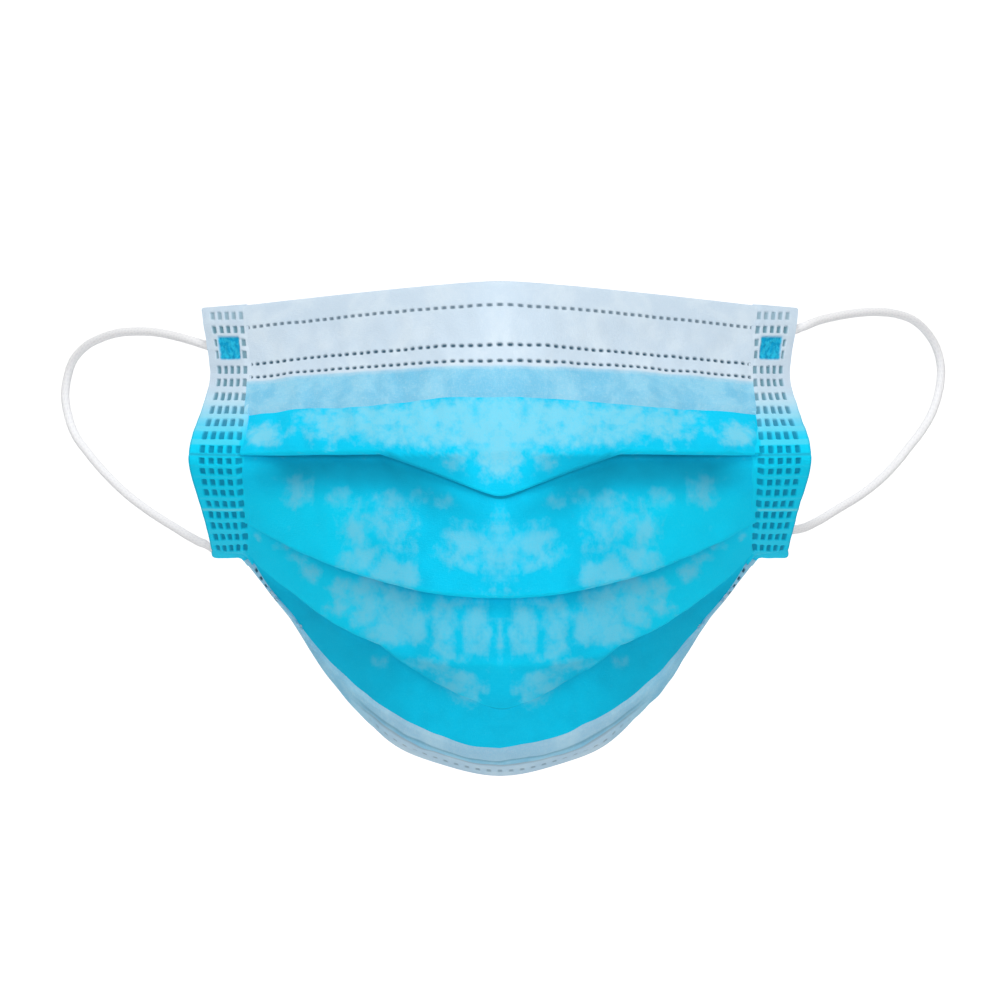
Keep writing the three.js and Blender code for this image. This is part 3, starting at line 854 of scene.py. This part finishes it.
bottom_hem = wall_piece(
    "hem_bottom", bottom_grid, bottom_face, bottom_under, hem_material, bottom_across,
    {"weld_and_crease_shade": np.maximum(bottom_weld, CREASE_SHADE * crease), "tone": bottom_tone},
)

# Welded side bands

MARK_COLUMNS = (0.963, 0.9373, 0.9115, 0.8858, 0.86)  # shares across
# Lengths down of the rows of weld marks, at the middle of the band
MARK_ROWS = (0.7, 4.2, 7.4, 10.5, 14.8, 19.0, 23.8, 28.5, 32.8, 37.3, 41.7,
             45.1, 47.9, 50.9, 53.7, 56.9, 60.2, 63.8, 68.2, 73.0)
# The rows drop towards the side edge by this much, at lengths down
ROW_TILT = ((0.7, -0.6), (15, -1.4), (24, -0.8), (33, 0.5), (42, 1.4), (51, 1.9), (57, 2.5), (64, 3.2),
            (73, 3.9))
TILT_WIDE = 0.103  # share across over which they drop
MARK_WIDE = 1.4
MARK_SHARE = 0.58  # of the row pitch
MARK_DEPTH = 0.4
MARK_BACK = 0.25  # depth of the marks on the back
FIRST_ROW = 0.65  # strength of the first row and of the inner column
INNER_COLUMN = 0.9
SPOT = (0.915, 8.8)  # weld of the ear loop: share across and length down
SPOT_SIZE = (7.6, 6.4, 0.9)  # across, down and its soft edge
SPOT_CLEAR = (8.2, 7.8, 0.3)  # round it, the band has no marks
SPOT_DEPTH = 0.3
SPOT_GRAIN = (0.08, 2.2, 11)  # height, size and seed
BAND_EDGE = 0.838  # share across of the inner edge, as the marks run past the band's start
BAND_WALL = (2.3, 1.0)  # thickness at the cloth and at the side edge
BAND_TUCK = -2  # height of the lower end
BAND_FRONT = 0.5  # height of the front face
BAND_BILLOW = (0.04, 6, 12)  # height, size and seed
BAND_UNDER = 0.12  # the band's inner edge lies this far below the cloth's face
FOLD_LEVEL = 43.4  # the first pleat's fold, pressed into the band
FOLD_WIDE = 0.4
FOLD_DEPTH = 0.12
# painted shade along the first pleat's fold where it crosses the band
FOLD_LINE_SHADE = 0.55
RIM = (-0.006, 0.004)  # share across from the side edge where the rim starts, and run
RIM_TINT = 0.5
WHITE_END = (40, 22)  # length down where the white of the hem ends in the band, and run
PALE_ROW = (58.6, 1.6)  # length down of a paler row of the weld, and width
PALE_PARTS = (0.12, 0.7, 0.25)  # of the ridges between rows: everywhere, at that row and above the fold
FOLD_PALE_RUN = 2
RIDGE_START = (1.1, 0.5)  # distance from the row where a ridge starts, and run
RIDGE_SIDE = (0.853, 0.006)  # share across where the ridges start, and run
RIDGE_HEIGHT = 0.06
HEM_LIFT = 0.36  # the band lies higher over the top hem
HEM_LIFT_END = (33, 8)  # length down, and run
TOP_HEM_END = 29.9
HEM_STEP = 0.5  # length in which a hem's thickness ends
BAND_COLUMNS = 66
BAND_ROWS = 330
BAND_PAST = 1.9  # past the first and the last crossing line
CORNER_PAST = 1.3  # further at the lower corner
CORNER = (0.7, 1.8)  # radius of the upper and the lower corner
SIDE_CUT = 1.0  # the side edge is drawn in by this much
SIDE_CUT_RUN = (46, 20)  # from this length down, and run
BLEND = 2.6  # width in which the band runs into the cloth


def corner_cut(length, radius):
    """How far the side edge is cut back, at a length from the end of the band."""
    off = np.clip(radius - length, 0, radius)
    return radius - np.sqrt(np.maximum(radius**2 - off**2, 0))


def mark_rows(share, level):
    """Weld marks of the band in rows and columns."""
    marks = np.zeros(level.shape)
    rows = np.array(MARK_ROWS)
    for column in MARK_COLUMNS:
        u = (share - column) * HALF_WIDTH
        for row, height in zip(rows, np.gradient(rows)):
            strength = INNER_COLUMN if column == min(MARK_COLUMNS) else 1
            if row == rows[0]:
                strength = FIRST_ROW
            mark = box_mark(u, level - row, MARK_WIDE, MARK_SHARE * height, DOT_SOFT)
            marks = np.maximum(marks, strength * mark)
    return marks


def side_band(name, sign):
    share = np.linspace(BAND_EDGE, 1, BAND_COLUMNS)
    across = sign * share
    if sign < 0:
        across, share = across[::-1], share[::-1]
    sections = Sections(across)
    run = np.clip((share - BAND_START) / (1 - BAND_START), 0, 1)[:, None]
    bottom = sections.length + BAND_PAST + CORNER_PAST * run
    down = lerp(-BAND_PAST, bottom, np.linspace(0, 1, BAND_ROWS)[None])
    last_turn = (down - sections.down_to("pleat_3")) / (sections.length - sections.down_to("pleat_3"))
    tuck = BAND_TUCK * smooth(last_turn)
    flat_grid = sections.place(down, tuck)

    # The corners are rounded by drawing each row in towards the cloth
    outer = -1 if sign > 0 else 0
    side_down = down[outer]
    cut_back = np.maximum(
        corner_cut(side_down + BAND_PAST, CORNER[0]), corner_cut(bottom[outer] - side_down, CORNER[1])
    )
    gathered = rising(side_down, *SIDE_CUT_RUN) * (1 - smooth(last_turn[outer]))
    reach = 1 - np.maximum(cut_back, SIDE_CUT * gathered) / HALF_WIDTH / (1 - BAND_EDGE)
    share = BAND_EDGE + (share[:, None] - BAND_EDGE) * reach
    order = np.argsort(np.abs(across))
    flat_share = np.abs(across)[order]
    grid = np.empty_like(flat_grid)
    for row, axis in np.ndindex(BAND_ROWS, 3):
        grid[:, row, axis] = np.interp(share[:, row], flat_share, flat_grid[order, row, axis])

    tilt = (share - MARK_COLUMNS[len(MARK_COLUMNS) // 2]) / TILT_WIDE
    level = down - np.interp(down, *zip(*ROW_TILT)) * tilt
    spot_place = (share - SPOT[0]) * HALF_WIDTH, level - SPOT[1]
    spot = box_mark(*spot_place, *SPOT_SIZE)
    marks = mark_rows(share, level) * (1 - box_mark(*spot_place, *SPOT_CLEAR))
    fold_line = bell(level, FOLD_LEVEL, FOLD_WIDE)
    rim = rising(share - (BAND_EDGE + (1 - BAND_EDGE) * reach), *RIM)
    tone = falling(level, *WHITE_END)
    # painted shade along that fold, and the darker rim at the side edge
    fold_shade_and_rim = np.maximum(FOLD_LINE_SHADE * fold_line, RIM_TINT * rim * (1 - tone))
    nearest = np.abs(level[..., None] - np.array(MARK_ROWS)).min(-1)
    pale_parts = (1, bell(level, *PALE_ROW), falling(level, FOLD_LEVEL, FOLD_PALE_RUN))
    pale = sum(part * place for part, place in zip(PALE_PARTS, pale_parts))
    ridge = rising(nearest, *RIDGE_START) * pale * rising(share, *RIDGE_SIDE)

    on_bottom_hem = rising(down, sections.length - HEM_FRONT[-1, 1], HEM_STEP)
    hem_cover = np.maximum(falling(down, TOP_HEM_END, HEM_STEP), on_bottom_hem)
    cloth_front = ClothWay(sections).seen_heights(down) + CLOTH / 2 + HEM_HEIGHT * hem_cover - tuck
    front = BAND_FRONT + HEM_LIFT * falling(down, *HEM_LIFT_END)
    end = smooth((share - BAND_EDGE) * HALF_WIDTH / BLEND)
    sunk = SPOT_DEPTH + ripple(share * HALF_WIDTH, down, *SPOT_GRAIN)
    face = lerp(cloth_front - BAND_UNDER, front, end) - MARK_DEPTH * marks - sunk * spot
    face = face + RIDGE_HEIGHT * ridge - FOLD_DEPTH * fold_line
    face = face + ripple(sign * share * HALF_WIDTH, down, *BAND_BILLOW)
    paint = {"weld_and_crease_shade": np.maximum(marks, fold_shade_and_rim), "tone": tone, "spot": spot, "ridge": ridge}
    back = BAND_FRONT - lerp(*BAND_WALL, run) + MARK_BACK * marks
    return wall_piece(name, grid, face, back, band_material, across, paint)


bands = {"left": side_band("band_left", -1), "right": side_band("band_right", 1)}

# Ear loops

LOOP_DIAMETER = 2.1
LOOP_ROUTES = {
    "left": [
        [-60.2, 66, 35.3], [-63.2, 68.6, 35.3], [-66.1, 71, 35.6], [-72.5, 76.9, 37.5],
        [-77.2, 83.6, 38.9], [-83, 91, 40.1], [-87.6, 96.6, 40.4], [-92.3, 102.1, 40.2],
        [-96.5, 106.9, 39.2], [-101, 111.8, 37.1], [-104.1, 115.1, 33.9], [-105.7, 116.9, 29.5],
        [-106.2, 117.3, 25.4], [-105.4, 116.6, 20.7], [-103.3, 114.3, 15.6], [-100.3, 111.1, 11.8],
        [-97.1, 107.5, 8.2], [-93.6, 103.6, 4.8], [-89.5, 98.9, 1.3], [-84.3, 92.7, -2.3],
        [-76.8, 82.9, -6.6], [-72.6, 77.6, -8.9], [-69.3, 74, -10.3], [-66.6, 72.8, -10.8],
        [-63.8, 72.1, -11],
    ],
    "right": [
        [60.2, 66, 35.3], [63.6, 69.2, 37.2], [66.8, 71.9, 38.9], [71.9, 75.3, 41], [75.3, 80.3, 42.4],
        [79.3, 85.6, 43.5], [84, 91.7, 44.5], [90.4, 99.3, 45.2], [96.2, 106, 44.9], [100.5, 110.8, 43.6],
        [104, 114.6, 40.9], [106.6, 117.3, 37.1], [107.8, 118.3, 32.3], [107.4, 118, 27.4],
        [105.7, 116.3, 22], [102.3, 112.7, 16.5], [99.4, 109.6, 13.1], [96, 105.7, 9.2],
        [91.7, 100.9, 5.1], [86.6, 94.9, 1.4], [80.3, 87, -2.1], [74.5, 78.5, -5.2], [66.9, 64.8, -7.1],
        [64.4, 63.4, -7.3], [61.9, 62.2, -7.7],
    ],
}
LOOP_STEP = 0.22
LOOP_SIDES = 28
LOOP_UP = (0.0, 0.6, 0.8)  # direction that the rings of the mesh are set out from
ROUTE_SAMPLES = 4000
CORD_EVERY = 6  # one in this many places goes to the cord's path
STRANDS = 9
STRAND_TURN = 2.6  # length in which a strand goes once round
KNIT_RELIEF = 0.02  # share of the radius
GROOVE_FROM = 0.25
BAND_GRID = (30, 200)  # columns and rows on which the band's normal is read
WELD_RUN = (2.5, 3.5)  # the loop's ends are pressed flat for this length, and run
PRESSED = 0.5  # share of the diameter that is pressed away
SPREAD = 0.35  # the ends widen by this share
WELD_SINK = 0.75  # they lie this much closer to the band than the round loop


def smooth_route(points, step):
    """Even points along a smooth curve through a route."""
    points = np.array(points, float)
    at = lengths_along(points)
    curve = curve_through(at, points, np.linspace(0, at[-1], ROUTE_SAMPLES))
    run = lengths_along(curve)
    even = np.linspace(0, run[-1], int(run[-1] / step) + 1)
    return np.stack([np.interp(even, run, curve[:, k]) for k in range(3)], -1), run[-1]


def band_normal(place):
    """Outward normal of the band at a place on it."""
    columns, rows = BAND_GRID
    sections = Sections(np.sort(np.sign(place[0]) * np.linspace(BAND_EDGE, 1, columns)))
    grid = sections.place(sections.length * np.linspace(0, 1, rows)[None], np.zeros(BAND_GRID))
    apart = np.linalg.norm(grid - place, axis=-1)
    return normals(grid)[np.unravel_index(apart.argmin(), apart.shape)]


def ear_loop(name, route):
    path, length = smooth_route(route, LOOP_STEP)
    heading = unit(np.gradient(path, axis=0))
    side = unit(np.cross(heading, LOOP_UP))
    rise = np.cross(side, heading)
    run = np.linspace(0, length, len(path))[:, None]
    angle = 2 * np.pi * np.arange(LOOP_SIDES)[None] / LOOP_SIDES
    lay = 2 * np.pi * run / STRAND_TURN
    knit = np.maximum(np.sin(STRANDS * angle + lay), np.sin(STRANDS * angle - lay))
    radius = LOOP_DIAMETER / 2 * (1 - KNIT_RELIEF + KNIT_RELIEF * knit)
    ring = side[:, None] * np.cos(angle)[..., None] + rise[:, None] * np.sin(angle)[..., None]
    offset = ring * radius[..., None]
    outward = np.where(run < length / 2, band_normal(path[0]), band_normal(path[-1]))
    along_band = unit(np.cross(heading, outward))
    flat = 1 - rising(np.minimum(run, length - run), *WELD_RUN)
    for direction, change in ((outward, -PRESSED * flat), (along_band, SPREAD * flat)):
        reach = (offset * direction[:, None]).sum(-1) * change
        offset = offset + reach[..., None] * direction[:, None]
    seat = flat * (PRESSED * LOOP_DIAMETER / 2 + WELD_SINK) * outward
    tube = (path + seat)[:, None] + offset
    number = np.arange(knit.size).reshape(knit.shape)
    faces = quads(np.append(number, number[:, :1], 1).T).tolist()
    faces += [number[0].tolist(), number[-1, ::-1].tolist()]
    uv = uv_map(run, angle * LOOP_DIAMETER / 2)
    # painted shade in the knit's low places
    groove_shade = np.clip(GROOVE_FROM - knit, 0, 1)
    piece = finish_mesh(name, tube.reshape(-1, 3), faces, loop_material, uv, {"groove_shade": groove_shade})
    centre = ((path + seat - NOSE_SEAT) * MM)[::CORD_EVERY]
    return piece, centre, length * MM


for side_name, route in LOOP_ROUTES.items():
    loop, centre, length = ear_loop("loop_" + side_name, route)
    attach(loop, "root")
    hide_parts("ear_loop_" + side_name)

# Piece, node that it replaces, slot, size laid flat in metres, and how it is held
PIECES = [
    (panel, "pleated_panel", "cloth_blue", (0.150, 0.172), "folded"),
    (top_hem, "top_hem", "hem_white", (0.150, 0.046), "folded"),
    (bottom_hem, "bottom_hem", "hem_white", (0.150, 0.025), "folded"),
    (bands["left"], "side_band_left", "band_weld", (0.0142, 0.080), "stretched"),
    (bands["right"], "side_band_right", "band_weld", (0.0142, 0.080), "stretched"),
]
for piece, node, slot, flat, held in PIECES:
    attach(piece, "root")
    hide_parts(node)

# Stage, in metres: a pale floor that sweeps up into a lit wall behind the mask

FLOOR = -0.26
SWEEP_FRONT = -3.0
SWEEP_BEND = 1.1
SWEEP_RADIUS = 0.7
SWEEP_STEPS = 24
SWEEP_TOP = 2.2
SWEEP_HALF = 3.0
WALL_GLOW = 0.55
GLOW_RUN = (0.4, 1.2)  # the glow starts and is full this far back
STAGE_ROUGHNESS = 0.9
GLOW_WHITE = (1, 1, 1, 1)


def stage_sweep():
    bend = np.linspace(0, np.pi / 2, SWEEP_STEPS)
    curved = SWEEP_BEND + SWEEP_RADIUS * np.sin(bend)
    back = np.concatenate([[SWEEP_FRONT], curved, [SWEEP_BEND + SWEEP_RADIUS]])
    height = FLOOR + np.concatenate([[0], SWEEP_RADIUS * (1 - np.cos(bend)), [SWEEP_TOP]])
    sides = [np.column_stack([np.full(len(back), x), back, height]) for x in (-SWEEP_HALF, SWEEP_HALF)]
    places = np.concatenate(sides)
    number = np.arange(len(places)).reshape(2, len(back))
    material = bpy.data.materials.new("stage_white")
    material.use_nodes = True
    tree = material.node_tree
    shader = tree.nodes["Principled BSDF"]
    shader.inputs["Roughness"].default_value = STAGE_ROUGHNESS
    shader.inputs["Emission Color"].default_value = GLOW_WHITE
    position = add(tree, "ShaderNodeNewGeometry").outputs["Position"]
    place = add(tree, "ShaderNodeSeparateXYZ", Vector=position)
    glow = times(tree, ramp(tree, place.outputs["Y"], *GLOW_RUN), WALL_GLOW)
    tree.links.new(glow, shader.inputs["Emission Strength"])
    mesh = smooth_mesh("stage_sweep", places, quads(number.T).tolist(), material)
    sweep = add_object("stage_sweep", mesh)


stage_sweep()

# Light and camera, in metres

WORLD_LIGHT = 0.45
LIGHT_TARGET = (0, 0.02, -0.04)
LIGHTS = {  # place, size and power
    "key": ((0, -0.75, 1.15), 0.7, 10.6),
    "fill": ((0, -1.7, 0.1), 1.0, 6.5),
}

world = bpy.data.worlds.new("studio")
world.use_nodes = True
background = world.node_tree.nodes["Background"]
background.inputs["Color"].default_value = GLOW_WHITE
background.inputs["Strength"].default_value = WORLD_LIGHT
bpy.context.scene.world = world

for light_name, (place, size, power) in LIGHTS.items():
    light = bpy.data.lights.new(light_name, "AREA")
    light.size = size
    light.energy = power
    lamp = add_object(light_name, light)
    lamp.location = place
    lamp.rotation_euler = (Vector(LIGHT_TARGET) - Vector(place)).to_track_quat("-Z", "Y").to_euler()

CAMERA_DISTANCE = 1.0  # to the front of the mask
VIEW_WIDTH = 0.2186  # that the picture covers at that distance
camera_data = bpy.data.cameras.new("camera")
camera_data.lens = camera_data.sensor_width * CAMERA_DISTANCE / VIEW_WIDTH
camera = add_object("camera", camera_data)
camera.location = np.array([0, -CAMERA_DISTANCE, 0]) - NOSE_SEAT * MM
camera.rotation_euler = (math.pi / 2, 0, 0)
bpy.context.scene.camera = camera
bpy.context.scene.view_settings.view_transform = "Standard"
